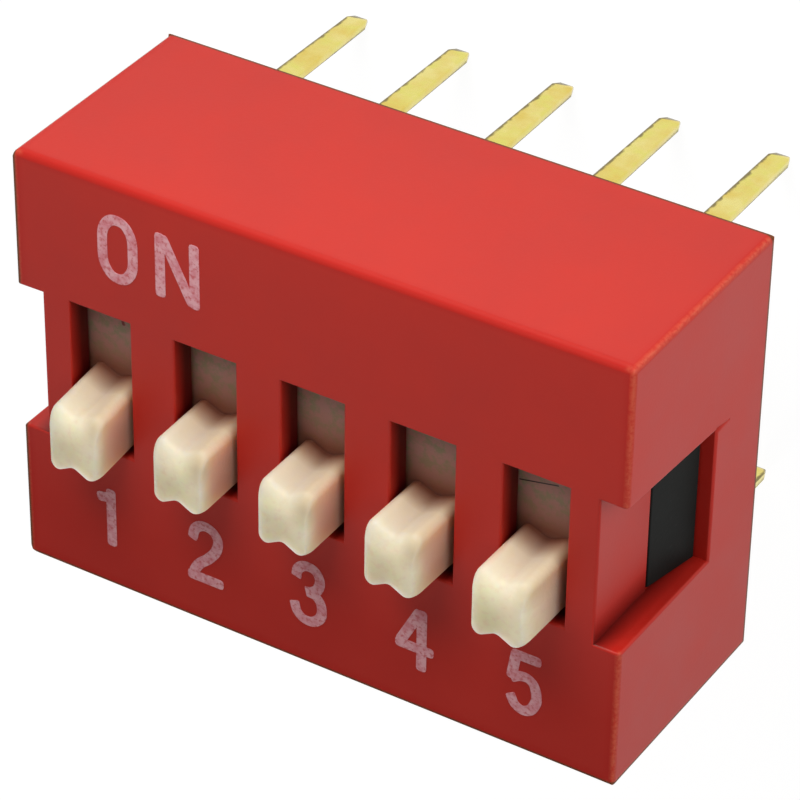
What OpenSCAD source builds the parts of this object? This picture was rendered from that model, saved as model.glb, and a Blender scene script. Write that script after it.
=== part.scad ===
// Five-position slide DIP switch with raised actuators, for a circuit board.
// Origin: middle of the pin pattern, on the plane where the body meets the board.
// +Z points out of the slotted face, +X runs from position 1 to 5, +Y points to the ON side.

/* [Positions] */
// Spacing from one switch position to the next
pitch = 2.54; // [2.45:0.01:2.8]
// Distance between the two rows of pins, centre to centre
row_spacing = 7.62; // [7.5:0.01:7.8]

/* [Cover] */
// Thickness of the face that the slots go through
face_wall = 0.62; // [0.4:0.01:1]
// Thickness of the two long side walls
side_wall = 0.73; // [0.5:0.01:1.2]
// Thickness of the two end walls
end_wall = 1; // [0.9:0.01:1.5]
// Radius of the rounded outer edges
edge_r = 0.18; // [0.05:0.01:0.3]

/* [Slots] */
// Width of a slot, along the row of positions
slot_w = 1.46; // [1.3:0.01:1.6]
// Free length of a slot past each end of the knob's travel
slot_end_gap = 0.215; // [0.1:0.005:0.4]
// Offset of the slots towards the ON side
slot_y = 0.1; // [0:0.01:0.2]

/* [End recesses] */
// Depth of the recess in each end wall
recess_d = 0.59; // [0.3:0.01:0.65]
// Width of the recess at the slotted face
recess_w = 3.45; // [2.5:0.05:4.5]
// Offset of the recess towards the ON side
recess_y = 0.035; // [0:0.005:0.2]
// How much the ON side of the recess closes in on its way down
recess_draft = 0.25; // [0:0.01:0.5]
// Height of the window at the foot of the recess
window_h = 1.5; // [1:0.05:2]
// Height left free between the window and the actuators above it
window_clear = 0.48; // [0.4:0.01:0.8]

/* [Actuators] */
// Distance an actuator slides from OFF to ON
travel = 1.5; // [1:0.05:2]
// Length of a knob along its travel
knob_l = 1.4; // [1.2:0.05:2]
// Height of a knob above the slotted face
knob_h = 1.05; // [0.5:0.05:3]
// Gap between a knob and each side of its slot
knob_gap = 0.14; // [0.05:0.01:0.25]
// Radius of the rounded corners of a knob
knob_r = 0.15; // [0.05:0.01:0.25]
// Slope of the V groove in the two pushed faces of a knob, in degrees
groove_angle = 23; // [10:1:27]
// Thickness of the shoulder plate under the face
plate_t = 0.9; // [0.5:0.05:1.5]
// Lap of the shoulder plate past each side of its slot
plate_side_lap = 0.22; // [0.1:0.01:0.25]
// Lap of the shoulder plate past the ends of its slot
plate_end_lap = 0.15; // [0.05:0.01:0.4]
// Thickness of the two lips that hold the moving contact
lip_t = 0.3; // [0.2:0.05:0.5]
// Depth of the lips below the shoulder plate
lip_h = 0.3; // [0.15:0.05:0.35]

/* [Base] */
// Height of the base floor that the contacts slide on
floor_h = 2.1; // [1.8:0.05:3]
// Thickness of the base walls at the ends of the actuators' travel
rail_t = 0.745; // [0.7:0.005:1.5]
// Rise of the snap lug's ramp above the floor of the recess
lug_rise = 0.28; // [0.1:0.01:0.3]

/* [Terminals] */
// Thickness of the terminal strip
strip_t = 0.2; // [0.15:0.01:0.3]
// Width of a contact pad
pad_w = 1.1; // [0.9:0.05:1.3]
// Width of a pin
pin_w = 0.4; // [0.3:0.01:0.6]
// Length of a pin below the body
pin_l = 4.3; // [2.5:0.05:5]
// Height in the base at which a terminal narrows to its pin
neck_h = 0.6; // [0.3:0.05:1.2]
// Radius on the inside of a terminal's bend
bend_r = 0.1; // [0.05:0.01:0.2]
// Length of the chamfers at the tip of a pin
tip_l = 0.22; // [0.1:0.01:0.4]
// Depth of the chamfers at the tip of a pin
tip_d = 0.06; // [0.02:0.01:0.07]
// Lap of the number side's pad past the wiper in ON
pad_lap = 0.2; // [0.1:0.01:0.4]

/* [Moving contacts] */
// Space between the base floor and the shoulder plate
contact_h = 1.78; // [1.6:0.01:2.5]
// Width of a moving contact
contact_w = 0.9; // [0.7:0.05:1]
// Thickness of a moving contact
contact_t = 0.12; // [0.08:0.01:0.15]
// Radius of the curl at each end, at mid thickness
curl_r = 0.4; // [0.3:0.01:0.5]
// Distance of each wiper from the middle of the contact
wiper_y = 1; // [0.8:0.05:1.1]
// Length of the raised tip past each wiper
wiper_tip = 0.3; // [0.15:0.05:0.4]

/* [Clearances] */
// Gap on each side of a sliding plate
slide_gap = 0.05; // [0.02:0.01:0.08]
// Gap left at each stop of the travel
stop_gap = 0.04; // [0.02:0.01:0.1]
// Gap between the base and the cover
base_gap = 0.05; // [0.02:0.01:0.08]
// Gap around a terminal in the base
terminal_gap = 0.02; // [0.01:0.01:0.04]
// Gap between a moving contact and what it lies on
contact_gap = 0.02; // [0.01:0.01:0.04]

/* [Hidden] */
$fn = 48;

positions = 5;
cut = 1;                    // how far a cut runs past the surface it opens
end_x = (positions - 1) / 2 * pitch;

// Along the travel
slot_l = knob_l + travel + 2 * slot_end_gap;
plate_l = slot_l + travel + 2 * plate_end_lap;
off_y = slot_y - travel / 2;
stop_reach = (plate_l + travel) / 2 + stop_gap;
base_w = 2 * (slot_y + stop_reach + rail_t);
chamber_w = base_w + 2 * base_gap;
body_w = chamber_w + 2 * side_wall;

// Along the row of positions
knob_w = slot_w - 2 * knob_gap;
plate_w = slot_w + 2 * plate_side_lap;
lane_w = plate_w + 2 * slide_gap;
chamber_l = 2 * end_x + lane_w;
base_l = chamber_l - 2 * base_gap;
body_l = chamber_l + 2 * end_wall;
recess_x = body_l / 2 - recess_d;
post_x = end_x + contact_w / 2 + slide_gap + contact_gap;

// Heights above the board
plate_z = floor_h + contact_h;
plate_top = plate_z + plate_t;
chamber_top = plate_top + slide_gap;
body_h = chamber_top + face_wall;
window_top = plate_z - window_clear;
window_z = window_top - window_h;

// Terminals
leg_y = row_spacing / 2;
number_pad_y = slot_y + travel / 2 - wiper_y + pad_lap;
on_pad_y = slot_y + wiper_y;

function position_x(i) = (i - (positions + 1) / 2) * pitch;

// Rectangle with two rounded upper corners, centred on X, standing on Y = 0
module arched_rect(w, h, r) {
    translate([-w / 2, 0]) square([w, h - r]);
    translate([-w / 2 + r, 0]) square([w - 2 * r, h]);
    for (s = [-1, 1]) translate([s * (w / 2 - r), h - r]) circle(r);
}

// Rectangle with four rounded corners, centred
module round_rect(w, l, r) {
    square([w, l - 2 * r], center = true);
    square([w - 2 * r, l], center = true);
    for (sx = [-1, 1], sy = [-1, 1]) translate([sx * (w / 2 - r), sy * (l / 2 - r)]) circle(r);
}

// A profile drawn in X and Z, extruded along Y over the length l, centred
module along_y(l) {
    rotate([90, 0, 0]) linear_extrude(l, center = true) children();
}

// A profile drawn in Y and Z, extruded along X over the length l, centred
module along_x(l) {
    rotate([90, 0, 90]) linear_extrude(l, center = true) children();
}

// Block standing on Z = 0 with its upright and upper edges rounded
module soft_block(w, l, h, r) {
    intersection() {
        linear_extrude(h) round_rect(w, l, r);
        along_y(l + cut) arched_rect(w, h, r);
        along_x(w + cut) arched_rect(l, h, r);
    }
}

// Box centred on X and Y, from z0 up to z1
module box(w, l, z0, z1) {
    translate([-w / 2, -l / 2, z0]) cube([w, l, z1 - z0]);
}

// Outline of the end recess in Y and Z, from the height z0 up to past the face
module recess_outline(z0) {
    low = recess_y - recess_w / 2;
    high = recess_y + recess_w / 2;
    slope = recess_draft / (body_h - window_z);
    polygon([
        [low, z0],
        [high - slope * (body_h - z0), z0],
        [high + slope * cut, body_h + cut],
        [low, body_h + cut]
    ]);
}

module end_recess() {
    translate([recess_x + (recess_d + cut) / 2, 0, 0])
        along_x(recess_d + cut) recess_outline(window_z);
    // Window through to the chamber, where the snap lug shows
    translate([recess_x, 0, 0])
        intersection() {
            along_x(end_wall + cut) recess_outline(window_z);
            box(end_wall + 2 * cut, body_w, window_z - cut, window_top);
        }
}

module cover() {
    color([0.8, 0.13, 0.1])
    difference() {
        soft_block(body_l, body_w, body_h, edge_r);
        box(chamber_l, chamber_w, -cut, chamber_top);
        for (i = [1 : positions])
            translate([position_x(i), slot_y, 0]) box(slot_w, slot_l, chamber_top - cut, body_h + cut);
        for (s = [0, 1]) mirror([s, 0, 0]) end_recess();
    }
}

// Lane of one actuator in the base, above the floor
module lane() {
    translate([0, slot_y, 0]) box(lane_w, 2 * stop_reach, floor_h, body_h);
}

// Post with a ramped lug that snaps into the cover's end window
module end_post() {
    inner = post_x;
    outer = base_l / 2;
    translate([(inner + outer) / 2, 0, 0]) box(outer - inner, base_w, 0, window_top);
    intersection() {
        along_y(body_w)
            polygon([
                [inner, window_z + base_gap],
                [recess_x + lug_rise, window_z + base_gap],
                [recess_x, window_top - base_gap],
                [inner, window_top - base_gap]
            ]);
        translate([recess_x, -base_gap / 2, 0])
            along_x(recess_x) lug_outline();
    }
}

// Recess outline drawn in by the gap, so that the lug clears the window's sides
module lug_outline() {
    intersection() {
        translate([base_gap, 0]) recess_outline(window_z);
        translate([-base_gap / 2, 0]) recess_outline(window_z);
    }
}

// Room for one terminal in the base, on the side s, its pad ending at pad_y
module terminal_room(s, pad_y) {
    g = terminal_gap;
    y0 = s * pad_y - g;
    y1 = leg_y + strip_t / 2 + g;
    mirror([0, s < 0 ? 1 : 0, 0]) {
        translate([-pad_w / 2 - g, y0, floor_h - strip_t - g]) cube([pad_w + 2 * g, y1 - y0, strip_t + g]);
        translate([0, leg_y, 0]) {
            box(pad_w + 2 * g, strip_t + 2 * g, neck_h - g, floor_h);
            box(pin_w + 2 * g, strip_t + 2 * g, -cut, neck_h);
        }
    }
}

module base() {
    color([0.14, 0.14, 0.15])
    difference() {
        union() {
            difference() {
                box(base_l, base_w, 0, plate_top);
                for (i = [1 : positions]) translate([position_x(i), 0, 0]) lane();
                // The end lanes are closed by the cover's end walls
                for (s = [-1, 1])
                    translate([s * (end_x + lane_w), slot_y, 0])
                        box(lane_w + cut, 2 * stop_reach, floor_h, body_h);
            }
            for (s = [0, 1]) mirror([s, 0, 0]) end_post();
        }
        for (i = [1 : positions]) translate([position_x(i), 0, 0]) {
            terminal_room(1, on_pad_y);
            terminal_room(-1, number_pad_y);
        }
    }
}

// Section of a knob: rounded corners, and a V groove in each pushed face from corner to corner
module knob_section() {
    corner_x = knob_w / 2 - knob_r;
    corner_y = knob_l / 2 - knob_r;
    crest_x = corner_x - knob_r * sin(groove_angle);
    crest_y = corner_y + knob_r * cos(groove_angle);
    middle_y = crest_y - crest_x * tan(groove_angle);
    for (s = [0, 1]) mirror([0, s])
        polygon([
            [-knob_w / 2, 0],
            [knob_w / 2, 0],
            [knob_w / 2, corner_y],
            [crest_x, crest_y],
            [0, middle_y],
            [-crest_x, crest_y],
            [-knob_w / 2, corner_y]
        ]);
    for (sx = [-1, 1], sy = [-1, 1]) translate([sx * corner_x, sy * corner_y]) circle(knob_r);
}

module actuator(i) {
    knob_top = body_h + knob_h;
    color([0.93, 0.89, 0.8])
    translate([position_x(i), off_y, 0]) {
        intersection() {
            translate([0, 0, plate_z]) linear_extrude(knob_top - plate_z) knob_section();
            along_y(knob_l + cut) arched_rect(knob_w, knob_top, knob_r);
            along_x(knob_w + cut) arched_rect(knob_l, knob_top, knob_r);
        }
        box(plate_w, plate_l, plate_z, plate_top);
        for (s = [-1, 1])
            translate([0, s * (plate_l - lip_t) / 2, 0]) box(plate_w, lip_t, plate_z - lip_h, plate_z + lip_h);
    }
}

// Straight piece of strip from a to b with round ends
module strip_run(a, b, t) {
    d = b - a;
    translate(a) rotate(atan2(d[1], d[0])) translate([0, -t / 2]) square([norm(d), t]);
    for (p = [a, b]) translate(p) circle(d = t);
}

// Half ring that opens towards -X, its mid line at the radius r
module half_ring(r, t) {
    difference() {
        circle(r + t / 2);
        circle(r - t / 2);
        translate([-2 * (r + t), -(r + t)]) square(2 * (r + t));
    }
}

module moving_contact(i) {
    top = plate_z - contact_gap - contact_t / 2;
    low = floor_h + contact_gap + contact_t / 2;
    strap = plate_l / 2 - lip_t - contact_gap - curl_r - contact_t / 2;
    color([0.85, 0.7, 0.35])
    translate([position_x(i), off_y, 0])
        along_x(contact_w) {
            strip_run([-strap, top], [strap, top], contact_t);
            for (s = [0, 1]) mirror([s, 0]) {
                translate([strap, top - curl_r]) half_ring(curl_r, contact_t);
                strip_run([strap, top - 2 * curl_r], [wiper_y, low], contact_t);
                strip_run([wiper_y, low], [wiper_y - wiper_tip, low + wiper_tip], contact_t);
            }
        }
}

// Side view of the strip inside the base: the pad, the bend and the leg
module terminal_bend(pad_y) {
    corner = bend_r + strip_t;
    y1 = leg_y + strip_t / 2;
    translate([pad_y, floor_h - strip_t]) square([y1 - corner - pad_y, strip_t]);
    translate([y1 - strip_t, neck_h]) square([strip_t, floor_h - corner - neck_h]);
    intersection() {
        translate([y1 - corner, floor_h - corner]) difference() {
            circle(corner);
            circle(bend_r);
        }
        translate([y1 - corner, floor_h - corner]) square(corner);
    }
}

// One stamped strip on the side s, its pad ending at pad_y
module terminal(i, s, pad_y) {
    color([0.86, 0.74, 0.36])
    translate([position_x(i), 0, 0]) mirror([0, s < 0 ? 1 : 0, 0]) {
        along_x(pad_w) terminal_bend(s * pad_y);
        translate([0, leg_y, 0]) intersection() {
            along_y(strip_t) pin_outline(pin_w);
            along_x(pin_w) pin_outline(strip_t);
        }
    }
}

// Outline of a pin of the width w, with the chamfers of its tip
module pin_outline(w) {
    polygon([
        [-w / 2, neck_h],
        [-w / 2, tip_l - pin_l],
        [-w / 2 + tip_d, -pin_l],
        [w / 2 - tip_d, -pin_l],
        [w / 2, tip_l - pin_l],
        [w / 2, neck_h]
    ]);
}

module on_terminal(i) {
    terminal(i, 1, on_pad_y);
}

module number_terminal(i) {
    terminal(i, -1, number_pad_y);
}

cover();
base();
actuator(1);  // actuator_1
actuator(2);  // actuator_2
actuator(3);  // actuator_3
actuator(4);  // actuator_4
actuator(5);  // actuator_5
moving_contact(1);  // moving_contact_1
moving_contact(2);  // moving_contact_2
moving_contact(3);  // moving_contact_3
moving_contact(4);  // moving_contact_4
moving_contact(5);  // moving_contact_5
on_terminal(1);  // on_terminal_1
on_terminal(2);  // on_terminal_2
on_terminal(3);  // on_terminal_3
on_terminal(4);  // on_terminal_4
on_terminal(5);  // on_terminal_5
number_terminal(1);  // number_terminal_1
number_terminal(2);  // number_terminal_2
number_terminal(3);  // number_terminal_3
number_terminal(4);  // number_terminal_4
number_terminal(5);  // number_terminal_5
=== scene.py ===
import math

import bmesh
import bpy
from mathutils import Matrix, Vector


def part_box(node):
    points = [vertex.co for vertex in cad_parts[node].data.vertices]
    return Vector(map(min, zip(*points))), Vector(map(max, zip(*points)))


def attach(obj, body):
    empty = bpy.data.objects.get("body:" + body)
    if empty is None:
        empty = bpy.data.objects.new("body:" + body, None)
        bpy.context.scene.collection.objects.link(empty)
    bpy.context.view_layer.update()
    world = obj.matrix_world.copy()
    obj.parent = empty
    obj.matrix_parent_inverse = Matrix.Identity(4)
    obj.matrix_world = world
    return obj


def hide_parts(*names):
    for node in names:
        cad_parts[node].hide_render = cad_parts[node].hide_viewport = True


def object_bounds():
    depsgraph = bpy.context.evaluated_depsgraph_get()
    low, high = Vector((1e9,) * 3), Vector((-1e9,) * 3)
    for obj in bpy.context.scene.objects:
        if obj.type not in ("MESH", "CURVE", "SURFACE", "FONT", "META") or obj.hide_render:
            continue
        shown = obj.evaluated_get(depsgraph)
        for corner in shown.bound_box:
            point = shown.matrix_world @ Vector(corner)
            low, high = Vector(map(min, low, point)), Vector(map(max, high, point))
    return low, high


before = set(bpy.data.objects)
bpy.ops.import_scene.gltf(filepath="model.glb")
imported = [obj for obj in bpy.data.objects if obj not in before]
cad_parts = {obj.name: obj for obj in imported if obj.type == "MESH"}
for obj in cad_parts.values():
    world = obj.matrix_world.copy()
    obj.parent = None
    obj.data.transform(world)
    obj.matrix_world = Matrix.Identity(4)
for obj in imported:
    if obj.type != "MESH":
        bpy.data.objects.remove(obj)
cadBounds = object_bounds()
scene = bpy.context.scene
mm = 0.001
positions = 5
print("frame loaded:", len(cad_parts), "nodes")

stageSetup = {
    "target": (0.334, 0.115, 2.7),   # mm, the point the camera looks at
    "distance": 84.13,               # mm
    "azimuth": 53.31,                # degrees from +X towards +Y
    "elevation": 44.22,
    "roll": -132.24,                 # the ON side is turned up
    "lens": 187.84, "sensor": 36,    # mm
    "clipStart": 0.001, "clipEnd": 10,   # m
    "floorSize": 3000,               # mm
    "floorTone": (0.86, 0.86, 0.855),
    "floorShadow": 0.12,             # share of the floor's own shading that the camera sees
    "floorGlow": 1.08,
    "ambient": 0.26,                 # level of the surroundings on the object
}
# angles in degrees, sizes in mm; level is how bright a white sheet that faces the lamp renders
lampSetup = {
    "keyLamp": {"azimuth": 97, "elevation": 28, "distance": 34, "size": 24, "level": 0.84},
    "fillLamp": {"azimuth": 30, "elevation": 12, "distance": 40, "size": 30, "level": 0.40},
    "edgeLamp": {"azimuth": 250, "elevation": 2, "distance": 45, "size": 10, "level": 0.50, "shine": False},
}


def lampDirection(azimuth, elevation):
    a, e = math.radians(azimuth), math.radians(elevation)
    return Vector((math.cos(a) * math.cos(e), math.sin(a) * math.cos(e), math.sin(e)))


def placeCamera(setup):
    target = Vector(setup["target"]) * mm
    back = lampDirection(setup["azimuth"], setup["elevation"])
    camera = bpy.data.objects.new("camera", bpy.data.cameras.new("camera"))
    scene.collection.objects.link(camera)
    turn = back.to_track_quat("Z", "Y").to_matrix().to_4x4()
    roll = Matrix.Rotation(math.radians(setup["roll"]), 4, "Z")
    camera.matrix_world = Matrix.Translation(target + back * setup["distance"] * mm) @ turn @ roll
    camera.data.lens = setup["lens"]
    camera.data.sensor_width = setup["sensor"]
    camera.data.clip_start = setup["clipStart"]
    camera.data.clip_end = setup["clipEnd"]
    scene.camera = camera


def placeLamp(name, azimuth, elevation, distance, size, level, shine=True):
    # a round soft lamp; without shine it stays out of reflections
    lamp = bpy.data.lights.new(name, "AREA")
    lamp.shape = "DISK"
    lamp.size = size * mm
    # a lamp of this power gives a white sheet at its distance that level
    lamp.energy = level * math.pi ** 2 * (distance * mm) ** 2
    lampObject = bpy.data.objects.new(name, lamp)
    scene.collection.objects.link(lampObject)
    way = lampDirection(azimuth, elevation)
    middle = (cadBounds[0] + cadBounds[1]) / 2
    turn = way.to_track_quat("Z", "Y").to_matrix().to_4x4()
    lampObject.matrix_world = Matrix.Translation(middle + way * distance * mm) @ turn
    lampObject.visible_glossy = shine


def feed(tree, socket, value):
    # value is a number, a colour or the output of another node
    if isinstance(value, bpy.types.NodeSocket):
        tree.links.new(value, socket)
    else:
        socket.default_value = value


def addNode(tree, kind, values=None, **settings):
    # values go to the inputs of that name or number
    node = tree.nodes.new(kind)
    for key, setting in settings.items():
        setattr(node, key, setting)
    for key, value in (values or {}).items():
        feed(tree, node.inputs[key], value)
    return node


def addMath(tree, operation, a, b=0.0):
    return addNode(tree, "ShaderNodeMath", {0: a, 1: b}, operation=operation).outputs[0]


def addRange(tree, value, low, high, toLow=0.0, toHigh=1.0):
    # runs evenly from toLow at low to toHigh at high, and stays there beyond them
    node = addNode(tree, "ShaderNodeMapRange", {0: value, 1: low, 2: high, 3: toLow, 4: toHigh})
    return node.outputs[0]


def addMix(tree, factor, a, b):
    # colour a where factor is 0, and b where it is 1
    node = addNode(tree, "ShaderNodeMix", {0: factor}, data_type="RGBA")
    for number, colour in ((6, a), (7, b)):
        linked = isinstance(colour, bpy.types.NodeSocket)
        feed(tree, node.inputs[number], colour if linked else (*colour, 1))
    return node.outputs[2]


def addNoise(tree, coords, scale, detail, roughness=0.55):
    values = {"Vector": coords, "Scale": scale, "Detail": detail, "Roughness": roughness}
    return addNode(tree, "ShaderNodeTexNoise", values).outputs[0]


def startGroup(name, inputs, outputs):
    # inputs and outputs are (name, kind); returns the tree with its two ends
    tree = bpy.data.node_groups.new(name, "ShaderNodeTree")
    for way, sockets in (("INPUT", inputs), ("OUTPUT", outputs)):
        for label, kind in sockets:
            tree.interface.new_socket(label, in_out=way, socket_type="NodeSocket" + kind)
    return tree, tree.nodes.new("NodeGroupInput").outputs, tree.nodes.new("NodeGroupOutput").inputs


def placeGroup(tree, group, values):
    return addNode(tree, "ShaderNodeGroup", values, node_tree=group).outputs


def startMaterial(name, look, metallic=0.0):
    material = bpy.data.materials.new(name)
    material.use_nodes = True
    tree = material.node_tree
    shader = tree.nodes["Principled BSDF"]
    shader.inputs["Metallic"].default_value = metallic
    shader.inputs["Specular IOR Level"].default_value = look["specular"]
    coords = tree.nodes.new("ShaderNodeTexCoord").outputs["Object"]
    return material, tree, shader, coords


def setBump(tree, shader, height, distance):
    bump = addNode(tree, "ShaderNodeBump", {"Height": height, "Distance": distance * mm, "Strength": 1.0})
    tree.links.new(bump.outputs[0], shader.inputs["Normal"])


def setBleed(shader, look):
    shader.inputs["Subsurface Weight"].default_value = look["bleed"]
    shader.inputs["Subsurface Radius"].default_value = look["bleedColour"]
    shader.inputs["Subsurface Scale"].default_value = look["bleedReach"] * mm


cloudSpan = (0.3, 0.7)   # nearly all of a noise's values lie between these
grainHeight = 0.4        # height of the fine grain in the bump, where the clouds have 1
highlightTail = 2.0           # the painted highlight line has faded out at this many line widths
edgeShadeStart = 0.5           # share of the painted edge shade's width where it begins to fade


def makeGrainGroup():
    # fine skin of a moulded or plated surface: a cloudy tone and a bump height
    tree, given, out = startGroup(
        "surfaceGrain",
        [("Vector", "Vector"), ("Cloud Scale", "Float"), ("Grain Scale", "Float")],
        [("Tone", "Float"), ("Height", "Float")],
    )
    cloud = addNoise(tree, given["Vector"], given["Cloud Scale"], 4.0)
    grain = addNoise(tree, given["Vector"], given["Grain Scale"], 2.0)
    tree.links.new(cloud, out["Tone"])
    height = addMath(tree, "ADD", addMath(tree, "MULTIPLY", grain, grainHeight), cloud)
    tree.links.new(height, out["Height"])
    return tree


def makeEdgeGroup():
    # Band is 1 on the long edges of a box and 0 further than Reach from them; the second output, a painted
    # highlight, follows the edges of its two ends; the third, painted shade, follows its foot and the edges
    # of its low sides
    tree, given, out = startGroup(
        "boxEdge",
        [("Vector", "Vector"), ("Low", "Vector"), ("High", "Vector"),
         ("Reach", "Float"), ("Line Width", "Float"), ("Rim Width", "Float")],
        [("Band", "Float"), ("Line", "Float"), ("Rim", "Float")],
    )
    reaches = []
    for a, b in (("Vector", "Low"), ("High", "Vector")):
        away = addNode(tree, "ShaderNodeVectorMath", {0: given[a], 1: given[b]}, operation="SUBTRACT")
        reaches.append(addNode(tree, "ShaderNodeSeparateXYZ", {0: away.outputs[0]}).outputs)
    # distances from the low and the high side of the box
    (lowX, lowY, lowZ), (highX, highY, highZ) = reaches
    x = addMath(tree, "MINIMUM", lowX, highX)
    y = addMath(tree, "MINIMUM", lowY, highY)
    inner = addMath(tree, "MINIMUM", addMath(tree, "MAXIMUM", x, y), highZ)
    second = addMath(tree, "MAXIMUM", addMath(tree, "MINIMUM", x, y), inner)
    band = addRange(tree, second, 0.0, given["Reach"], 1.0, 0.0)
    offEnd = addRange(tree, x, 0.0, given["Line Width"])
    tree.links.new(addMath(tree, "MULTIPLY", band, offEnd), out["Band"])
    line = addRange(tree, second, 0.0, given["Line Width"], 1.0, 0.0)
    lineEnd = addMath(tree, "MULTIPLY", given["Line Width"], highlightTail)
    atEnd = addRange(tree, x, given["Line Width"], lineEnd, 1.0, 0.0)
    tree.links.new(addMath(tree, "MULTIPLY", line, atEnd), out["Line"])
    onLeft = addMath(tree, "MAXIMUM", lowX, addMath(tree, "MINIMUM", highY, highZ))
    onFront = addMath(tree, "MAXIMUM", lowY, addMath(tree, "MINIMUM", highX, highZ))
    onFoot = addMath(tree, "MAXIMUM", lowZ, addMath(tree, "MINIMUM", x, y))
    nearest = addMath(tree, "MINIMUM", addMath(tree, "MINIMUM", onLeft, onFront), onFoot)
    start = addMath(tree, "MULTIPLY", given["Rim Width"], edgeShadeStart)
    tree.links.new(addRange(tree, nearest, start, given["Rim Width"], 1.0, 0.0), out["Rim"])
    return tree


grainGroup = makeGrainGroup()
edgeGroup = makeEdgeGroup()


def placeGrain(tree, coords, look):
    return placeGroup(tree, grainGroup, {
        "Vector": coords, "Cloud Scale": look["cloudScale"], "Grain Scale": look["grainScale"],
    })


def acrossRow(tree, x):
    # place along x, from the nearest position of the row
    first, second = (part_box(f"actuator_{i}") for i in (1, 2))
    step = second[0].x - first[0].x
    nearest = addMath(tree, "MULTIPLY", addMath(tree, "ROUND", addMath(tree, "DIVIDE", x, step)), step)
    return addMath(tree, "SUBTRACT", x, nearest)


cadGap = 0.0005                  # mm, points of the CAD closer than this become one
flatAngle = math.radians(0.5)    # faces that turn less than this become one
sharpAngle = math.radians(30)    # an edge that turns more than this counts as sharp


def mergedCopy(nodeName):
    # the CAD node's faces, joined and with its flat faces whole
    bm = bmesh.new()
    bm.from_mesh(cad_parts[nodeName].data)
    bmesh.ops.remove_doubles(bm, verts=bm.verts, dist=cadGap * mm)
    bmesh.ops.dissolve_limit(
        bm, angle_limit=flatAngle, verts=bm.verts, edges=bm.edges, use_dissolve_boundaries=False
    )
    return bm


def softenEdges(bm, edges, radius, segments):
    bmesh.ops.bevel(
        bm, geom=edges, offset=radius * mm, offset_type="OFFSET", affect="EDGES", segments=segments,
        profile=0.5, material=-1, clamp_overlap=True, loop_slide=True,
    )


def sharpEdges(bm, limit=sharpAngle):
    # the outward corners only
    return [e for e in bm.edges if len(e.link_faces) == 2 and e.is_convex and e.calc_face_angle() > limit]


def meshFrom(bm, name):
    mesh = bpy.data.meshes.new(name)
    bm.to_mesh(mesh)
    bm.free()
    return mesh


def softBox(name, low, high, radius, segments):
    bm = bmesh.new()
    bmesh.ops.create_cube(bm, size=1)
    bmesh.ops.scale(bm, vec=high - low, verts=bm.verts)
    bmesh.ops.translate(bm, vec=(low + high) / 2, verts=bm.verts)
    softenEdges(bm, bm.edges[:], radius, segments)
    return meshFrom(bm, name)


def sliver(start, end, width, depth, taper):
    # four-sided wedge that narrows from start to end by the share taper, to cut a nick with
    bm = bmesh.new()
    bmesh.ops.create_cone(bm, cap_ends=True, segments=4, radius1=0.5, radius2=0.5 * taper, depth=1)
    way = end - start
    bmesh.ops.scale(bm, vec=(width, depth * 2, way.length), verts=bm.verts)
    turn = way.to_track_quat("Z", "Y").to_matrix()
    bmesh.ops.rotate(bm, cent=(0, 0, 0), matrix=turn, verts=bm.verts)
    bmesh.ops.translate(bm, vec=(start + end) / 2, verts=bm.verts)
    return meshFrom(bm, "sliver")


def holdShape(name, data):
    holder = bpy.data.objects.new(name, data)
    scene.collection.objects.link(holder)
    return holder


def takeShape(holder):
    # the mesh that an object shows with its modifiers
    bpy.context.view_layer.update()
    evaluated = holder.evaluated_get(bpy.context.evaluated_depsgraph_get())
    bm = bmesh.new()
    bm.from_mesh(evaluated.to_mesh())
    return bm


def combineSolids(parts, operation="UNION"):
    # the first closed mesh with all the others added to it or cut out of it
    holders = [holdShape("solid", part) for part in parts]
    for other in holders[1:]:
        step = holders[0].modifiers.new("combine", "BOOLEAN")
        step.operation = operation
        step.solver = "EXACT"
        step.object = other
    bm = takeShape(holders[0])
    for holder in holders:
        bpy.data.objects.remove(holder)
    return bm


def makePiece(bm, name, material, body, nodes=(), smooth=True):
    # a finished piece that rides on a body and takes the place of the CAD nodes
    for face in bm.faces:
        face.smooth = smooth
    for edge in bm.edges:
        if len(edge.link_faces) == 2 and not edge.is_convex and edge.calc_face_angle() > sharpAngle:
            edge.smooth = False
    mesh = meshFrom(bm, name)
    mesh.materials.append(material)
    piece = bpy.data.objects.new(name, mesh)
    scene.collection.objects.link(piece)
    weighted = piece.modifiers.new("flatFaces", "WEIGHTED_NORMAL")
    weighted.keep_sharp = True
    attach(piece, body)
    if nodes:
        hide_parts(*nodes)
    return piece


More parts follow.
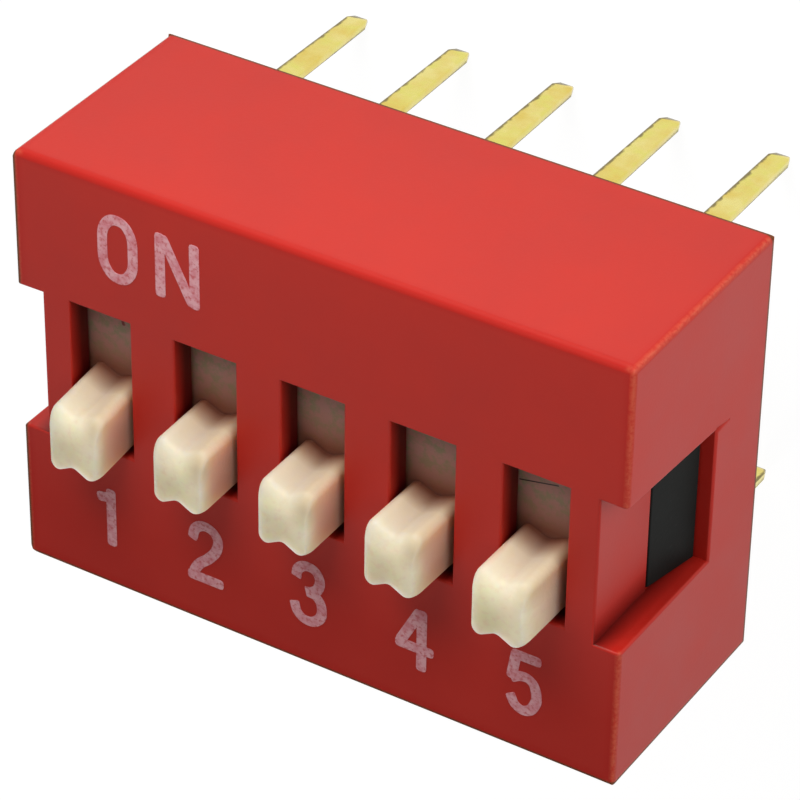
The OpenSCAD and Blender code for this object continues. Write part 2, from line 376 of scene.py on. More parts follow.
coverShape = {
    "cadRound": 0.185,               # reach of the CAD edges' rounding, which is taken off first
    "rounds": {"+Y+Z": 0.18, "+X+Z": 0.12, "+X+Y": 0.15, "-X+Y": 0.17, "-X-Y": 0.19},
    "mouthEdge": 0.06,               # radius at the mouths of the slots and recesses
    "cutEdge": 0.025,                # radius of all other edges
    "cuts": 4,
    "joined": 0.02,                  # points closer than this become one
    "nickY": 1.52, "nickLean": 0.05, "nickFrom": 1.95, "nickTo": 1.38,
    "nickWidth": 0.09, "nickDepth": 0.12, "nickTaper": 0.3,
    "recessFloor": 0.59, "ledgeY": -1.69,   # depth and lower side of an end recess
}
coverLook = {
    # the third colour is painted: a deeper, more saturated red along the long edges, for light that passes
    # through the rounded edges
    "red": (0.465, 0.018, 0.010), "deepRed": (0.43, 0.014, 0.008), "bandRed": (0.42, 0.004, 0.001),
    # on the next line: a painted highlight for the end edges, painted shade for the low edges, and painted
    # shade for the slots and recesses
    "line": (0.58, 0.12, 0.06), "rim": (0.11, 0.032, 0.006), "slotRed": (0.09, 0.001, 0.001),
    "specular": 0.29, "haze": (1.0, 0.95, 0.85),   # strength and tint of the plastic's shine
    "cloudScale": 420.0, "grainScale": 14000.0, "bump": 0.004,
    "roughSpan": (0.42, 0.50), "bandRough": 0.95,
    "bandReach": 0.27, "lineWidth": 0.13, "rimWidth": 0.085,
    "speckle": (13000.0, 2.0), "speckleRange": (0.35, 0.6, 0.2, 0.9),   # breaks up the painted highlight line
    "slotTop": 0.0, "slotFloor": 0.38,   # depths between which the slots' walls turn to painted shade
    # painted shade in the corner of an end recess: depth and height where it begins, and its reach and
    # strength
    "cornerFrom": 0.2, "cornerFoot": 1.85, "cornerReach": 0.6, "cornerDark": 0.88,
    "mattFrom": 4.5, "mattTo": -3.5, "matt": 0.72,   # along y, the face grows matt
    "slack": 0.02,                   # how far from a plane its look still holds
    # share, reach and tint of the light that passes through the skin
    "bleed": 0.25, "bleedReach": 0.2, "bleedColour": (1.0, 0.15, 0.1),
}


def recessShade(tree, coords, look, shape):
    # 1 in the corner between the floor of an end recess and its lower side
    x, y, z = addNode(tree, "ShaderNodeSeparateXYZ", {0: coords}).outputs
    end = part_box("cover")[1].x
    ledge = shape["ledgeY"] * mm
    slack = look["slack"] * mm
    out = addMath(tree, "ABSOLUTE", x)
    floorX = end - shape["recessFloor"] * mm
    shade = addRange(tree, out, end - look["cornerFrom"] * mm, floorX)
    near = addRange(tree, y, ledge, ledge + look["cornerReach"] * mm, look["cornerDark"], 0.0)
    above = addMath(tree, "GREATER_THAN", y, ledge - slack)
    inside = addMath(tree, "GREATER_THAN", out, floorX - slack)
    higher = addMath(tree, "GREATER_THAN", z, look["cornerFoot"] * mm)
    for mask in (near, above, inside, higher):
        shade = addMath(tree, "MULTIPLY", shade, mask)
    return shade


def slotShade(tree, coords, look):
    # 1 on the walls deep inside the slots
    first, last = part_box("actuator_1"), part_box(f"actuator_{positions}")
    x, y, z = addNode(tree, "ShaderNodeSeparateXYZ", {0: coords}).outputs
    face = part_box("cover")[1].z
    deep = addRange(tree, z, face - look["slotTop"] * mm, face - look["slotFloor"] * mm)
    inside = addMath(tree, "LESS_THAN", addMath(tree, "ABSOLUTE", x), last[1].x)
    between = addMath(tree, "LESS_THAN", addMath(tree, "ABSOLUTE", y), first[1].y)
    return addMath(tree, "MULTIPLY", deep, addMath(tree, "MULTIPLY", inside, between))


def makeCoverMaterial(look, shape):
    material, tree, shader, coords = startMaterial("coverRed", look)
    grain = placeGrain(tree, coords, look)
    low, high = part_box("cover")
    edge = placeGroup(tree, edgeGroup, {
        "Vector": coords, "Low": low, "High": high, "Reach": look["bandReach"] * mm,
        "Line Width": look["lineWidth"] * mm, "Rim Width": look["rimWidth"] * mm,
    })
    colour = addMix(tree, addRange(tree, grain["Tone"], *cloudSpan), look["deepRed"], look["red"])
    # painted band of deeper red along the long edges, for light that passes through them
    colour = addMix(tree, edge["Band"], colour, look["bandRed"])
    speckle = addRange(tree, addNoise(tree, coords, *look["speckle"]), *look["speckleRange"])
    # painted highlight along the edges of the two ends
    colour = addMix(tree, addMath(tree, "MULTIPLY", edge["Line"], speckle), colour, look["line"])
    # painted shade along the foot and the edges of the low sides
    colour = addMix(tree, edge["Rim"], colour, look["rim"])
    colour = addMix(tree, slotShade(tree, coords, look), colour, look["slotRed"])
    colour = addMix(tree, recessShade(tree, coords, look, shape), colour, look["slotRed"])
    tree.links.new(colour, shader.inputs["Base Color"])
    roughness = addRange(tree, grain["Tone"], *cloudSpan, *look["roughSpan"])
    bandRough = addMath(tree, "MULTIPLY", edge["Band"], look["bandRough"])
    roughness = addMath(tree, "MAXIMUM", roughness, bandRough)
    x, y, z = addNode(tree, "ShaderNodeSeparateXYZ", {0: coords}).outputs
    onFace = addMath(tree, "GREATER_THAN", z, high.z - look["slack"] * mm)
    matt = addRange(tree, y, look["mattFrom"] * mm, look["mattTo"] * mm, 0.0, look["matt"])
    roughness = addMath(tree, "MAXIMUM", roughness, addMath(tree, "MULTIPLY", matt, onFace))
    tree.links.new(roughness, shader.inputs["Roughness"])
    shader.inputs["Specular Tint"].default_value = (*look["haze"], 1)
    setBleed(shader, look)
    setBump(tree, shader, grain["Height"], look["bump"])
    return material


def outerSides(point, low, high, slack=0.001):
    # names of the box's outer faces on which a point lies
    names = ""
    for axis, letter in enumerate("XYZ"):
        if point[axis] > high[axis] - slack * mm:
            names += "+" + letter
        elif point[axis] < low[axis] + slack * mm:
            names += "-" + letter
    return names


def squareEdges(bm, low, high, shape):
    # the points of a rounded outer edge go back onto the edge itself
    reach = shape["cadRound"] * mm
    for vert in bm.verts:
        near = [(axis, end[axis]) for axis in range(3) for end in (low, high)
                if abs(vert.co[axis] - end[axis]) < reach]
        if len(near) > 1:
            for axis, value in near:
                vert.co[axis] = value
    bmesh.ops.remove_doubles(bm, verts=bm.verts, dist=shape["joined"] * mm)
    bmesh.ops.dissolve_limit(
        bm, angle_limit=flatAngle, verts=bm.verts, edges=bm.edges, use_dissolve_boundaries=False
    )


def roundEdges(bm, low, high, shape):
    # each outer edge gets its own radius, and a mouth's edges theirs
    weights = bm.edges.layers.float.new("bevel_weight_edge")
    widest = max(shape["rounds"].values())
    for edge in sharpEdges(bm):
        sides = outerSides((edge.verts[0].co + edge.verts[1].co) / 2, low, high)
        other = shape["mouthEdge"] if sides in ("+X", "-X", "+Z") else shape["cutEdge"]
        edge[weights] = shape["rounds"].get(sides, other) / widest
    holder = holdShape("shell", meshFrom(bm, "shell"))
    rounding = holder.modifiers.new("rounding", "BEVEL")
    rounding.limit_method = "WEIGHT"
    rounding.width = widest * mm
    rounding.segments = shape["cuts"]
    rounding.use_clamp_overlap = False
    bm = takeShape(holder)
    bpy.data.objects.remove(holder)
    return bm


def makeCover(shape, look):
    low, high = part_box("cover")
    bm = mergedCopy("cover")
    squareEdges(bm, low, high, shape)
    bm = roundEdges(bm, low, high, shape)
    top = Vector((high.x, shape["nickY"] * mm, shape["nickFrom"] * mm))
    foot = Vector((high.x, (shape["nickY"] - shape["nickLean"]) * mm, shape["nickTo"] * mm))
    nick = sliver(top, foot, shape["nickWidth"] * mm, shape["nickDepth"] * mm, shape["nickTaper"])
    bm = combineSolids([meshFrom(bm, "shell"), nick], "DIFFERENCE")
    material = makeCoverMaterial(look, shape)
    return makePiece(bm, "coverShell", material, "housing", ["cover"])


cover = makeCover(coverShape, coverLook)
print("cover:", len(cover.data.polygons), "faces")


baseLook = {
    "black": (0.006, 0.0066, 0.006), "worn": (0.015, 0.016, 0.015),
    "cloudScale": 500.0, "grainScale": 12000.0, "bump": 0.008,
    "tone": (0.35, 0.7), "specular": 0.07, "roughSpan": (0.5, 0.65),
    "speck": (5200.0, 1.0), "speckRange": (0.68, 0.74),
    "cutEdge": 0.03, "cuts": 2,
}


def makeBaseMaterial(look):
    material, tree, shader, coords = startMaterial("baseBlack", look)
    grain = placeGrain(tree, coords, look)
    speck = addRange(tree, addNoise(tree, coords, *look["speck"]), *look["speckRange"])
    tone = addMath(tree, "MAXIMUM", addRange(tree, grain["Tone"], *look["tone"]), speck)
    tree.links.new(addMix(tree, tone, look["black"], look["worn"]), shader.inputs["Base Color"])
    roughness = addRange(tree, grain["Tone"], *cloudSpan, *look["roughSpan"])
    tree.links.new(roughness, shader.inputs["Roughness"])
    setBump(tree, shader, grain["Height"], look["bump"])
    return material


def makeBase(look):
    bm = mergedCopy("base")
    softenEdges(bm, sharpEdges(bm), look["cutEdge"], look["cuts"])
    return makePiece(bm, "baseBlock", makeBaseMaterial(look), "housing", ["base"])


base = makeBase(baseLook)
print("base:", len(base.data.polygons), "faces")


knobShape = {
    "width": 1.25, "length": 1.44, "grooveAngle": 25, "grooveRound": 0.24, "corner": 0.18,
    "cornerCuts": 8, "grooveCuts": 6,
    "tipDrop": 0.28, "tipCuts": 9,   # height of the rounded tip
    "insetOn": 0.6, "insetNumber": 0.03, "insetSide": 0.1,   # how far the tip draws in on each side
    "plateThick": 0.9, "plateGap": 0.05, "faceWall": 0.62, "lip": 0.3,
    "plateEdge": 0.04, "plateCuts": 3,
    "rootSunk": 0.2,                 # how far the knob goes into its plate
    # how far each knob's tip leans, along x and y
    "leans": [(-0.01, -0.24), (0.01, -0.03), (-0.02, -0.03), (-0.08, -0.04), (-0.17, -0.22)],
}
ivoryLook = {
    "ivory": (0.90, 0.81, 0.62), "greenish": (0.85, 0.81, 0.55), "blush": (0.90, 0.75, 0.59),
    # the first colour on the next line is painted shade at a knob's foot; tan colours both the pores and
    # the flanks' painted shade with red bounce light, and the last colour is that shade near the cover
    "root": (0.60, 0.44, 0.30), "tan": (0.82, 0.65, 0.50), "brown": (0.64, 0.40, 0.27),
    "touched": (0.69, 0.65, 0.51),      # painted shade on the face towards the key lamp
    "touchedFrom": 0.25, "touchedTo": 0.62,   # distance from a knob's middle, along y
    "soiled": (0.59, 0.50, 0.35),       # darker tan on each knob's corner towards +X and +Y
    "soiledX": (0.12, 0.45), "soiledY": (-0.1, 0.35),
    # plate tones: the ivory plate in painted shade with red bounce light; the last colour is its painted
    # shade round a knob's foot
    "plate": (0.50, 0.25, 0.20), "plateGreen": (0.33, 0.27, 0.15), "stain": (0.22, 0.065, 0.03),
    # scratches and pits in the plates: start, end and half width, from the middle of the row, in mm
    "marks": [((4.35, 1.02), (5.2, 1.19), 0.016), ((-5.0, 1.29), (-4.97, 1.18), 0.042)],
    "markColours": [(0.012, 0.006, 0.004), (0.22, 0.008, 0.002)],
    "markFade": (0.6, 1.3),          # where a mark's edge begins and ends, in half widths
    "cloudScale": 1400.0, "grainScale": 12000.0, "bump": 0.012,
    "tone": (0.38, 0.62), "specular": 0.4, "rough": 0.55,
    "blushNoise": (1900.0, 4.0), "blushRange": (0.45, 0.65, 0.0, 0.4),
    "pores": (6500.0, 3.0), "poreRange": (0.5, 0.72, 0.0, 0.5),
    "mottle": (4200.0, 5.0, 0.65), "mottleRange": (0.46, 0.6),
    # share, reach and tint of the light that passes through the skin
    "bleed": 1.0, "bleedReach": 1.0, "bleedColour": (1.0, 0.8, 0.5),
    "rootFrom": -0.35, "rootTo": 1.05,   # heights over the cover's face between which a knob turns from painted shade at its foot to its ivory
    "flankFrom": 0.50, "flankTo": 0.61,  # distance from a knob's middle where its flanks' painted tan shade begins
    "fadeLow": 0.1, "fadeHigh": 1.0,     # heights over the cover's face between which the flanks' painted shade fades
    "fadePower": 3.0,
    "stainTop": 0.0, "stainDeep": 0.6,   # depths below the cover's face between which the tone changes to the plate's painted shade
    "stainFrom": 0.7, "stainTo": 1.6,   # reach of the painted shade round the foot of the knob, along y
}


def knobSection(shape):
    # outline of a knob, with a V groove in the two faces that a finger pushes
    tilt = math.radians(shape["grooveAngle"])
    corner, bend = shape["corner"], shape["grooveRound"]
    x = shape["width"] / 2 - corner
    y = shape["length"] / 2 - corner
    middle = y + corner / math.cos(tilt) - x * math.tan(tilt)
    points = []
    for i in range(shape["cornerCuts"] + 1):
        turn = (math.pi / 2 + tilt) * i / shape["cornerCuts"]
        points.append((x + corner * math.cos(turn), y + corner * math.sin(turn)))
    for i in range(shape["grooveCuts"] + 1):
        turn = tilt * (1 - 2 * i / shape["grooveCuts"])
        points.append((bend * math.sin(turn), middle + bend / math.cos(tilt) - bend * math.cos(turn)))
    points += [(-px, py) for px, py in reversed(points[:shape["cornerCuts"] + 1])]
    return points + [(-px, -py) for px, py in points]


def makeKnob(shape, rootZ, tipZ, lean):
    # the outline is pulled up in steps, closed below and then drawn in to a rounded tip that leans
    bm = bmesh.new()
    foot = [bm.verts.new((x * mm, y * mm, rootZ)) for x, y in knobSection(shape)]
    top = bm.faces.new(foot)
    drop = shape["tipDrop"] * mm
    for i in range(shape["tipCuts"] + 1):
        z = tipZ - drop * (1 - math.sin(math.pi / 2 * i / shape["tipCuts"]))
        top = bmesh.ops.extrude_discrete_faces(bm, faces=[top])["faces"][0]
        bmesh.ops.translate(bm, vec=(0, 0, z - top.calc_center_median().z), verts=top.verts)
    bm.faces.new(foot)
    for vert in bm.verts:
        high = min(max(1 - (tipZ - vert.co.z) / drop, 0), 1)
        drawn = 1 - math.sqrt(1 - high ** 2)
        inset = shape["insetOn"] if vert.co.y > 0 else shape["insetNumber"]
        rise = (vert.co.z - rootZ) / (tipZ - rootZ)
        vert.co.x *= 1 - drawn * shape["insetSide"] / (shape["width"] / 2)
        vert.co.y *= 1 - drawn * inset / (shape["length"] / 2)
        vert.co.x += lean[0] * rise * mm
        vert.co.y += lean[1] * rise * mm
    bmesh.ops.recalc_face_normals(bm, faces=bm.faces)
    return meshFrom(bm, "knob")


def nearMark(tree, x, y, mark, fade):
    # 1 on a short straight line of the X and Y plane
    start, end, half = mark
    run, rise = end[0] - start[0], end[1] - start[1]
    fromX = addMath(tree, "SUBTRACT", x, start[0] * mm)
    fromY = addMath(tree, "SUBTRACT", y, start[1] * mm)
    alongX = addMath(tree, "MULTIPLY", fromX, run)
    along = addMath(tree, "ADD", alongX, addMath(tree, "MULTIPLY", fromY, rise))
    share = addRange(tree, along, 0.0, (run ** 2 + rise ** 2) * mm)
    offX = addMath(tree, "SUBTRACT", fromX, addMath(tree, "MULTIPLY", share, run * mm))
    offY = addMath(tree, "SUBTRACT", fromY, addMath(tree, "MULTIPLY", share, rise * mm))
    away = addNode(tree, "ShaderNodeCombineXYZ", {0: offX, 1: offY}).outputs[0]
    length = addNode(tree, "ShaderNodeVectorMath", {0: away}, operation="LENGTH").outputs["Value"]
    return addRange(tree, length, half * fade[0] * mm, half * fade[1] * mm, 1.0, 0.0)


def makeIvoryMaterial(look):
    material, tree, shader, coords = startMaterial("knobIvory", look)
    shader.inputs["Roughness"].default_value = look["rough"]
    grain = placeGrain(tree, coords, look)
    low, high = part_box("actuator_1")
    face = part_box("cover")[1].z
    x, y, z = addNode(tree, "ShaderNodeSeparateXYZ", {0: coords}).outputs
    ivory = addMix(tree, addRange(tree, grain["Tone"], *look["tone"]), look["greenish"], look["ivory"])
    blush = addRange(tree, addNoise(tree, coords, *look["blushNoise"]), *look["blushRange"])
    colour = addMix(tree, blush, ivory, look["blush"])
    pores = addRange(tree, addNoise(tree, coords, *look["pores"]), *look["poreRange"])
    colour = addMix(tree, pores, colour, look["tan"])
    push = addMath(tree, "SUBTRACT", y, (low.y + high.y) / 2)
    # painted shade on the side of each knob that faces the key lamp
    touched = addRange(tree, push, look["touchedFrom"] * mm, look["touchedTo"] * mm)
    colour = addMix(tree, touched, colour, look["touched"])
    across = acrossRow(tree, x)
    soiledX = addRange(tree, across, *(v * mm for v in look["soiledX"]))
    soiledY = addRange(tree, push, *(v * mm for v in look["soiledY"]))
    colour = addMix(tree, addMath(tree, "MULTIPLY", soiledX, soiledY), colour, look["soiled"])
    # painted shade: a knob darkens steadily towards its foot in the slot
    aboveRootShade = addRange(tree, z, face + look["rootFrom"] * mm, face + look["rootTo"] * mm)
    colour = addMix(tree, aboveRootShade, look["root"], colour)
    # flanks get painted shade with red bounce light: tan, and brown towards the cover
    side = addMath(tree, "ABSOLUTE", across)
    flank = addRange(tree, side, look["flankFrom"] * mm, look["flankTo"] * mm)
    rise = addRange(tree, z, face + look["fadeLow"] * mm, face + look["fadeHigh"] * mm)
    flankShadeTone = addMix(tree, rise, look["brown"], look["tan"])
    faded = addMath(tree, "SUBTRACT", 1.0, addMath(tree, "POWER", rise, look["fadePower"]))
    colour = addMix(tree, addMath(tree, "MULTIPLY", flank, faded), colour, flankShadeTone)
    # plate in the slot: the ivory in painted shade with red bounce light, darkest round the knob's foot
    deep = addRange(tree, z, face - look["stainTop"] * mm, face - look["stainDeep"] * mm)
    away = addMath(tree, "ABSOLUTE", push)
    footShaded = addRange(tree, away, look["stainFrom"] * mm, look["stainTo"] * mm, 1.0, 0.0)
    mottled = addRange(tree, addNoise(tree, coords, *look["mottle"]), *look["mottleRange"])
    plate = addMix(tree, footShaded, addMix(tree, mottled, look["plate"], look["plateGreen"]), look["stain"])
    for mark, markColour in zip(look["marks"], look["markColours"]):
        plate = addMix(tree, nearMark(tree, x, y, mark, look["markFade"]), plate, markColour)
    colour = addMix(tree, deep, colour, plate)
    tree.links.new(colour, shader.inputs["Base Color"])
    setBleed(shader, look)
    setBump(tree, shader, grain["Height"], look["bump"])
    return material


def makeActuators(shape, look):
    material = makeIvoryMaterial(look)
    for i in range(1, positions + 1):
        low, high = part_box(f"actuator_{i}")
        middle = (low + high) / 2
        half = (high - low) / 2
        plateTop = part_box("cover")[1].z - (shape["faceWall"] + shape["plateGap"]) * mm
        plateLow = plateTop - shape["plateThick"] * mm
        plateFrom, plateTo = Vector((-half.x, -half.y, plateLow)), Vector((half.x, half.y, plateTop))
        parts = [
            softBox("plate", plateFrom, plateTo, shape["plateEdge"], shape["plateCuts"]),
            makeKnob(shape, plateTop - shape["rootSunk"] * mm, high.z, shape["leans"][i - 1]),
        ]
        for side in (-1, 1):
            nearY, farY = sorted((side * half.y, side * (half.y - shape["lip"] * mm)))
            lipFrom = Vector((-half.x, nearY, low.z))
            lipTo = Vector((half.x, farY, plateLow + shape["lip"] * mm))
            parts.append(softBox("lip", lipFrom, lipTo, shape["plateEdge"], shape["plateCuts"]))
        bm = combineSolids(parts)
        bmesh.ops.translate(bm, vec=(middle.x, middle.y, 0), verts=bm.verts)
        piece = makePiece(bm, f"slider{i}", material, f"slider_{i}", [f"actuator_{i}"])
        print(piece.name + ":", len(piece.data.polygons), "faces")


makeActuators(knobShape, ivoryLook)


inkShape = {
    "stroke": 0.235, "sunk": 0.02, "proud": 0.008,
    "corner": 0.07, "cornerCuts": 2, "cornerAngle": 60,   # rounding of a stroke's ends
    "curveCuts": 6, "joined": 0.001,
    "numberY": -4.03, "numberX": -0.08,
    "wordY": 2.73, "wordX": {"O": -4.57, "N": -3.14},
}
inkLook = {
    "ink": (0.75, 0.38, 0.41), "thin": (0.64, 0.21, 0.24), "speck": (0.54, 0.10, 0.11),
    "cloudScale": 5200.0, "grainScale": 16000.0, "bump": 0.004,
    "tone": (0.34, 0.60), "specular": 0.3, "rough": 0.55,
    "speckNoise": (11000.0, 2.0), "speckRange": (0.5, 0.68, 0.0, 0.85),
}

# strokes of each character: a kind and its middle line in mm, from the character's foot
characters = {
    "O": [("ring", [(0.365, 0.75), (0.25, 1.3), (0, 1.425), (-0.25, 1.3), (-0.365, 0.75), (-0.25, 0.19),
                    (0, 0.06), (0.25, 0.19)])],
    "N": [("line", [(-0.41, 0.01), (-0.41, 1.5)]), ("line", [(-0.36, 1.46), (0.36, 0.05)]),
          ("line", [(0.405, 0), (0.405, 1.5)])],
    "1": [("line", [(0.225, 0.04), (0.225, 1.49)]), ("line", [(-0.12, 1.21), (0.22, 1.28)])],
    "2": [("curve", [(-0.29, 1.07), (-0.17, 1.40), (0.08, 1.49), (0.32, 1.32), (0.33, 1.06), (0.14, 0.74),
                     (-0.14, 0.46), (-0.28, 0.2)]),
          ("line", [(-0.41, 0.15), (0.47, 0.15)])],
    "3": [("curve", [(-0.29, 1.15), (-0.22, 1.40), (0.03, 1.51), (0.24, 1.38), (0.25, 1.07), (0.1, 0.91),
                     (-0.06, 0.87)]),
          ("curve", [(-0.02, 0.87), (0.2, 0.82), (0.33, 0.53), (0.23, 0.24), (-0.02, 0.13), (-0.24, 0.24),
                     (-0.34, 0.52)])],
    "4": [("line", [(0.155, 0), (0.155, 1.53)]), ("line", [(0.12, 1.5), (-0.36, 0.56)]),
          ("line", [(-0.46, 0.54), (0.44, 0.54)])],
    "5": [("line", [(-0.31, 1.385), (0.36, 1.385)]), ("line", [(-0.2, 1.47), (-0.31, 0.74)]),
          ("curve", [(-0.32, 0.76), (-0.1, 0.88), (0.13, 0.86), (0.27, 0.6), (0.25, 0.3), (0.05, 0.06),
                     (-0.16, 0.09), (-0.33, 0.36)])],
}


def makeStroke(kind, points, shape):
    # flat bar swept along the points, as a closed mesh
    outline = bpy.data.curves.new("bar", "CURVE")
    bar = outline.splines.new("POLY")
    bar.points.add(3)
    bar.use_cyclic_u = True
    across, up = shape["stroke"] / 2 * mm, (shape["sunk"] + shape["proud"]) / 2 * mm
    for point, (x, y) in zip(bar.points, ((-across, -up), (across, -up), (across, up), (-across, up))):
        point.co = (x, y, 0, 1)
    curve = bpy.data.curves.new("stroke", "CURVE")
    curve.dimensions = "3D"
    curve.twist_mode = "Z_UP"
    curve.resolution_u = shape["curveCuts"]
    curve.bevel_mode = "OBJECT"
    curve.bevel_object = bpy.data.objects.new("bar", outline)
    curve.use_fill_caps = True
    line = curve.splines.new("POLY" if kind == "line" else "BEZIER")
    if kind == "line":
        line.points.add(len(points) - 1)
        for point, (x, y) in zip(line.points, points):
            point.co = (x * mm, y * mm, 0, 1)
    else:
        line.bezier_points.add(len(points) - 1)
        line.use_cyclic_u = kind == "ring"
        for point, (x, y) in zip(line.bezier_points, points):
            point.co = (x * mm, y * mm, 0)
            point.handle_left_type = point.handle_right_type = "AUTO"
    holder = holdShape("stroke", curve)
    bm = takeShape(holder)
    bmesh.ops.remove_doubles(bm, verts=bm.verts, dist=shape["joined"] * mm)
    bmesh.ops.recalc_face_normals(bm, faces=bm.faces)
    bpy.data.objects.remove(curve.bevel_object)
    bpy.data.objects.remove(holder)
    corners = sharpEdges(bm, math.radians(shape["cornerAngle"]))
    upright = [e for e in corners if abs(e.verts[0].co.z - e.verts[1].co.z) > shape["proud"] * mm]
    softenEdges(bm, upright, shape["corner"], shape["cornerCuts"])
    return meshFrom(bm, "stroke")


def makeInkMaterial(look):
    material, tree, shader, coords = startMaterial("markingInk", look)
    shader.inputs["Roughness"].default_value = look["rough"]
    grain = placeGrain(tree, coords, look)
    colour = addMix(tree, addRange(tree, grain["Tone"], *look["tone"]), look["thin"], look["ink"])
    speck = addRange(tree, addNoise(tree, coords, *look["speckNoise"]), *look["speckRange"])
    tree.links.new(addMix(tree, speck, colour, look["speck"]), shader.inputs["Base Color"])
    setBump(tree, shader, grain["Height"], look["bump"])
    return material


def makeLettering(shape, look):
    material = makeInkMaterial(look)
    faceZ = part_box("cover")[1].z
    lift = (shape["proud"] - shape["sunk"]) / 2 * mm
    places = {letter: (x * mm, shape["wordY"] * mm) for letter, x in shape["wordX"].items()}
    for i in range(1, positions + 1):
        low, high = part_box(f"actuator_{i}")
        places[str(i)] = ((low.x + high.x) / 2 + shape["numberX"] * mm, shape["numberY"] * mm)
    for name, (x, y) in places.items():
        bm = combineSolids([makeStroke(kind, points, shape) for kind, points in characters[name]])
        bmesh.ops.translate(bm, vec=(x, y, faceZ + lift), verts=bm.verts)
        makePiece(bm, f"mark{name}", material, "housing", smooth=False)


makeLettering(inkShape, inkLook)
print("lettering done")


pinShape = {
    "edge": 0.025, "edgeCuts": 2,    # radius of a pin's edges
    "rootShift": 0.08,               # how far the pins stand out from their row at the body
    "tipShift": {"on": 0.06, "number": 0.16},
    "neck": 0.6,                     # height in the base where a pin begins
    "rootWiden": 1.42, "tipWiden": 1.17,
    "edgeSpan": 2,                   # points within this many radii of an end belong to it
}
metalLook = {
    "gold": (0.73, 0.56, 0.12), "paleGold": (0.80, 0.70, 0.24), "greenGold": (0.73, 0.67, 0.15),
    "dullGold": (0.25, 0.20, 0.08), "brass": (0.80, 0.58, 0.24),
    "cloudScale": 1600.0, "grainScale": 9000.0, "bump": 0.01,
    "tone": (0.38, 0.66), "specular": 0.5, "roughSpan": (0.14, 0.26),
    "greenNoise": (2600.0, 3.0), "greenRange": (0.45, 0.7),
    "edgeFrom": 0.87, "edgeTo": 0.97,    # share of a face's width where its dull edge begins
    "wanderNoise": (5200.0, 2.0), "wander": (-0.07, 0.07),   # how that place wanders
}


def makeGoldMaterial(name, look, bright, edges=False):
    material, tree, shader, coords = startMaterial(name, look, metallic=1.0)
    grain = placeGrain(tree, coords, look)
    colour = addMix(tree, addRange(tree, grain["Tone"], *look["tone"]), bright, look["paleGold"])
    if edges:
        green = addRange(tree, addNoise(tree, coords, *look["greenNoise"]), *look["greenRange"])
        colour = addMix(tree, green, colour, look["greenGold"])
        nearEdge = addNode(tree, "ShaderNodeAttribute", attribute_name="dullEdge").outputs["Fac"]
        wander = addRange(tree, addNoise(tree, coords, *look["wanderNoise"]), *cloudSpan, *look["wander"])
        dull = addRange(tree, addMath(tree, "ADD", nearEdge, wander), look["edgeFrom"], look["edgeTo"])
        colour = addMix(tree, dull, colour, look["dullGold"])
    tree.links.new(colour, shader.inputs["Base Color"])
    roughness = addRange(tree, grain["Tone"], *cloudSpan, *look["roughSpan"])
    tree.links.new(roughness, shader.inputs["Roughness"])
    setBump(tree, shader, grain["Height"], look["bump"])
    return material


def markDullEdges(bm, middle, low, side, shape):
    # 1 along two opposite long edges of a pin and at its tip, 0 along the other two
    dull = bm.verts.layers.float.new("dullEdge")
    pins = [v for v in bm.verts if v.co.z < 0]
    halfX = max(abs(v.co.x - middle.x) for v in pins)
    halfY = max(abs(v.co.y - middle.y) for v in pins)
    span = shape["edgeSpan"] * shape["edge"]
    tipEnd = low.z + span * mm
    pinTop = (shape["neck"] + span) * mm
    for vert in bm.verts:
        # across and out differ by about 2 on the dull edges, and by 0 on the others
        across = (vert.co.x - middle.x) / halfX
        out = side * (vert.co.y - middle.y) / halfY
        if vert.co.z < tipEnd or (vert.co.z < pinTop and abs(across - out) > 1.5):
            vert[dull] = 1


def bendPin(bm, middleX, side, shape, row):
    # the pin leaves the body a little further out and wider than its row, and comes back to its tip
    length = -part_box(f"{row}_terminal_1")[0].z
    neck = shape["neck"] * mm
    for vert in bm.verts:
        if vert.co.z < neck:
            down = min(max(-vert.co.z / length, 0), 1)
            near = min((neck - vert.co.z) / neck, 1)
            shift = shape["rootShift"] + (shape["tipShift"][row] - shape["rootShift"]) * down
            vert.co.y += side * near * shift * mm
            widen = shape["rootWiden"] + (shape["tipWiden"] - shape["rootWiden"]) * down
            vert.co.x += near * (vert.co.x - middleX) * (widen - 1)


def makeTerminals(shape, look):
    material = makeGoldMaterial("pinGold", look, look["gold"], edges=True)
    for row, side in (("on", 1), ("number", -1)):
        for i in range(1, positions + 1):
            node = f"{row}_terminal_{i}"
            low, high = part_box(node)
            bm = mergedCopy(node)
            softenEdges(bm, sharpEdges(bm), shape["edge"], shape["edgeCuts"])
            # a ring of points where the pin leaves the body
            everything = bm.verts[:] + bm.edges[:] + bm.faces[:]
            bmesh.ops.bisect_plane(bm, geom=everything, plane_co=(0, 0, 0), plane_no=(0, 0, 1))
            outer = max(side * low.y, side * high.y)
            inner = min(side * v.co.y for v in bm.verts if v.co.z < 0)
            middle = Vector(((low.x + high.x) / 2, side * (outer + inner) / 2, 0))
            markDullEdges(bm, middle, low, side, shape)
            bendPin(bm, middle.x, side, shape, row)
            makePiece(bm, f"{row}Pin{i}", material, "housing", [node])


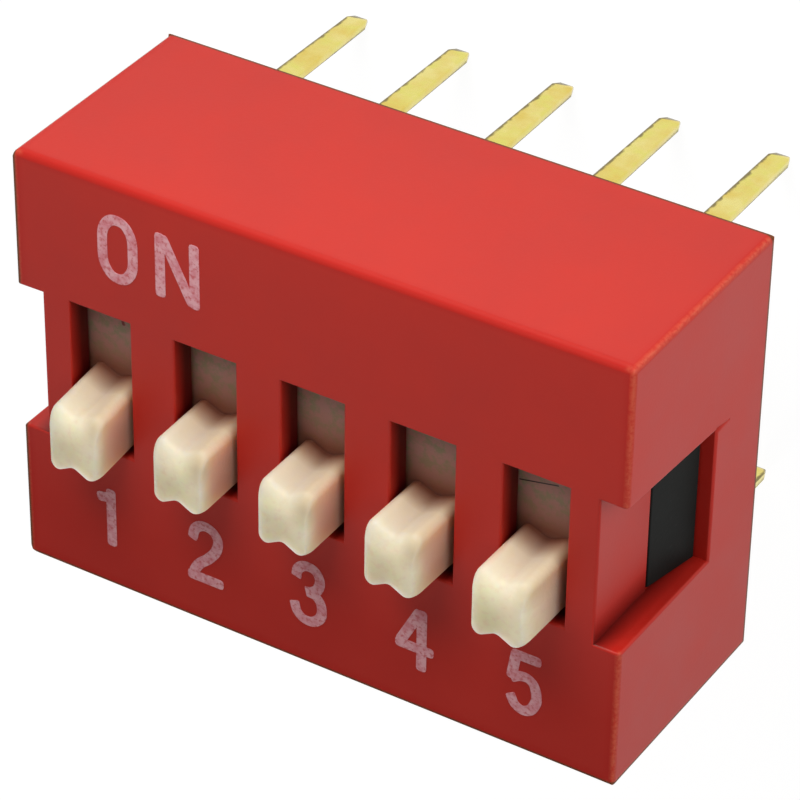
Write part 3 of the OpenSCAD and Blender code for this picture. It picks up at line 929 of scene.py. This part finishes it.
def finishContacts(look):
    material = makeGoldMaterial("contactBrass", look, look["brass"])
    for i in range(1, positions + 1):
        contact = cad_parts[f"moving_contact_{i}"]
        contact.data.materials.clear()
        contact.data.materials.append(material)


makeTerminals(pinShape, metalLook)
finishContacts(metalLook)
print("terminals and contacts done")


def makeSeenFactor(tree):
    # 1 for what the camera sees, straight, mirrored or through glass
    path = tree.nodes.new("ShaderNodeLightPath").outputs
    seen = addMath(tree, "MAXIMUM", path["Is Camera Ray"], path["Is Glossy Ray"])
    return addMath(tree, "MAXIMUM", seen, path["Is Transmission Ray"])


def makeFloor(setup):
    material = bpy.data.materials.new("paleFloor")
    material.use_nodes = True
    tree = material.node_tree
    tree.nodes.clear()
    diffuse = addNode(tree, "ShaderNodeBsdfDiffuse", {"Color": (*setup["floorTone"], 1)})
    glow = addNode(tree, "ShaderNodeEmission", {"Color": (1, 1, 1, 1), "Strength": setup["floorGlow"]})
    share = addMath(tree, "MULTIPLY", makeSeenFactor(tree), 1 - setup["floorShadow"])
    both = addNode(tree, "ShaderNodeMixShader", {0: share, 1: diffuse.outputs[0], 2: glow.outputs[0]})
    out = tree.nodes.new("ShaderNodeOutputMaterial")
    tree.links.new(both.outputs[0], out.inputs[0])
    bm = bmesh.new()
    bmesh.ops.create_grid(bm, x_segments=1, y_segments=1, size=setup["floorSize"] * mm / 2)
    bmesh.ops.translate(bm, vec=(0, 0, cadBounds[0].z), verts=bm.verts)
    mesh = meshFrom(bm, "floor")
    mesh.materials.append(material)
    floor = bpy.data.objects.new("floor", mesh)
    scene.collection.objects.link(floor)


def makeWorld(setup):
    # white surroundings, dimmer as light on the object than as seen
    world = bpy.data.worlds.new("studio")
    world.use_nodes = True
    scene.world = world
    tree = world.node_tree
    shade = tree.nodes["Background"]
    strength = addRange(tree, makeSeenFactor(tree), 0.0, 1.0, setup["ambient"], 1.0)
    shade.inputs["Color"].default_value = (1, 1, 1, 1)
    tree.links.new(strength, shade.inputs["Strength"])


scene.view_settings.view_transform = "Standard"
placeCamera(stageSetup)
makeFloor(stageSetup)
makeWorld(stageSetup)
for lampName, lampValues in lampSetup.items():
    placeLamp(lampName, **lampValues)
print("stage set")
